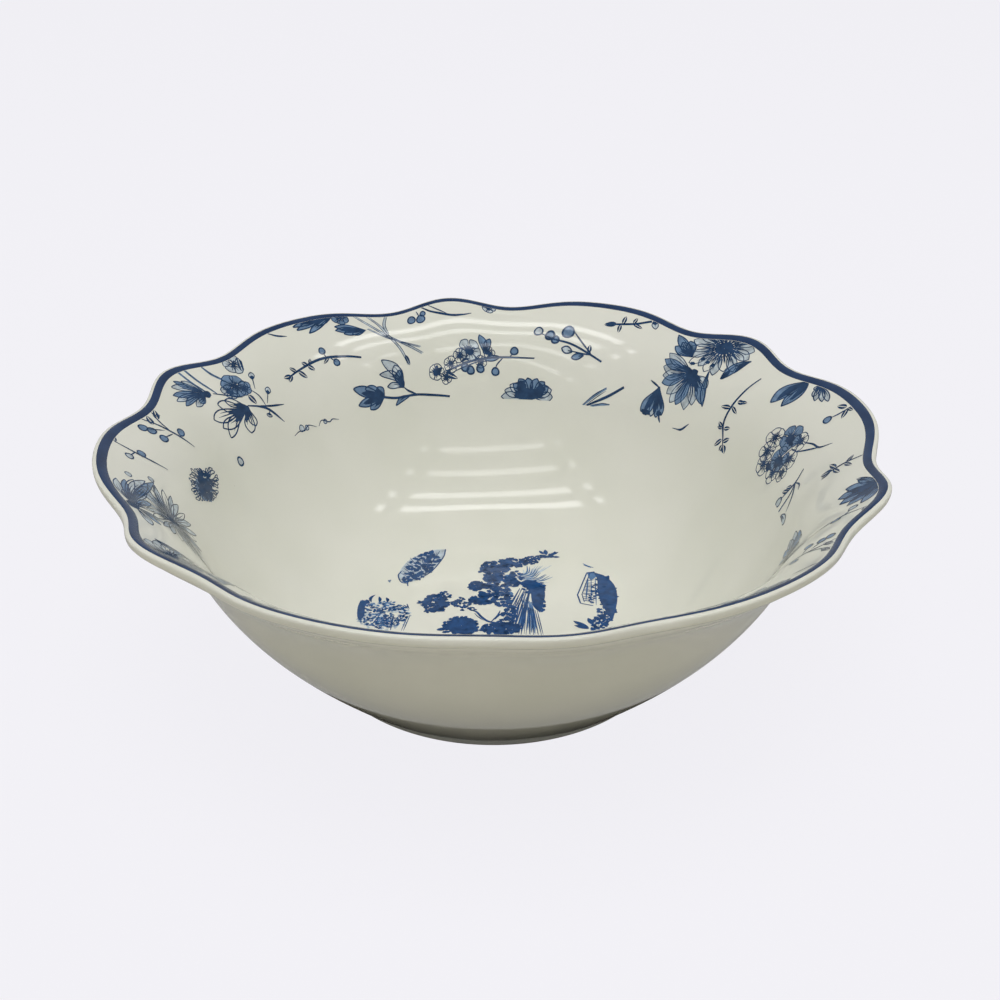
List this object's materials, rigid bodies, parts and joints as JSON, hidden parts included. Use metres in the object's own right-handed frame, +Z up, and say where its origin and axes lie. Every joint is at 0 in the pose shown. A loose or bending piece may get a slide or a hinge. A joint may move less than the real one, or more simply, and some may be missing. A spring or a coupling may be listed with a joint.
{
  "type": "porcelain serving bowl",
  "caption": "Round porcelain serving bowl with a flared, scalloped rim, a cobalt lip band, blue flower prints inside and a low foot ring.",
  "frame": {"origin": "centre of the foot ring's bearing plane, where the bowl stands on the table", "axes": "+Z up along the bowl's axis; wide lobes of the rim are centred on +X and every 60 degrees from it, small lobes on +Y and every 60 degrees from it"},
  "size_m": [0.253, 0.2522, 0.0834],
  "materials": {
    "porcelain_glaze": "clear gloss glaze over a warm white body",
    "biscuit_foot": "glazed sides, bare ground bearing face",
    "cobalt_blue": "cobalt blue fired into the glaze, gloss"
  },
  "bodies": {
    "root": {"bowl_body": "porcelain_glaze", "foot_ring": "biscuit_foot", "rim_band": "cobalt_blue"}
  },
  "joints": []
}
